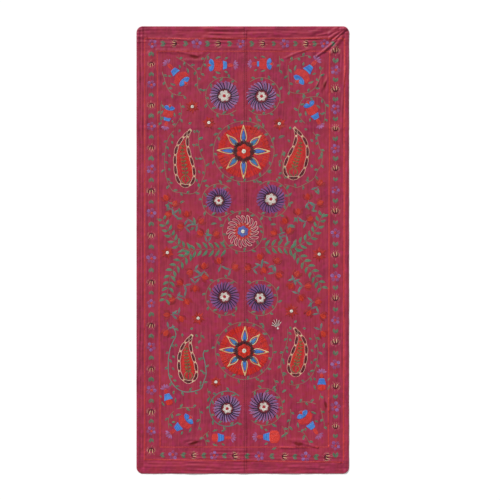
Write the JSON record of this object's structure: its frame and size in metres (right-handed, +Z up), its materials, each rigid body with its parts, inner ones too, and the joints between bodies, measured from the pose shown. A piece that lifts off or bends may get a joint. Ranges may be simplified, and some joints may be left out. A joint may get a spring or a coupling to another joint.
{
  "type": "suzani embroidered textile",
  "caption": "Long embroidered cloth of two joined loom widths, hemmed all round, with rounded corners, lying flat face up.",
  "frame": {"origin": "on the surface it lies on, under the middle of the cloth", "axes": "+Y along the length towards the top end, +X towards the right-hand edge, +Z up out of the embroidered face"},
  "size_m": [1.05, 2.21, 0.0081],
  "materials": {
    "dyed_cloth": "silk and cotton satin, lightly creased, with chain stitch embroidery"
  },
  "bodies": {
    "root": {"panel_left": "dyed_cloth", "panel_right": "dyed_cloth"}
  },
  "joints": []
}
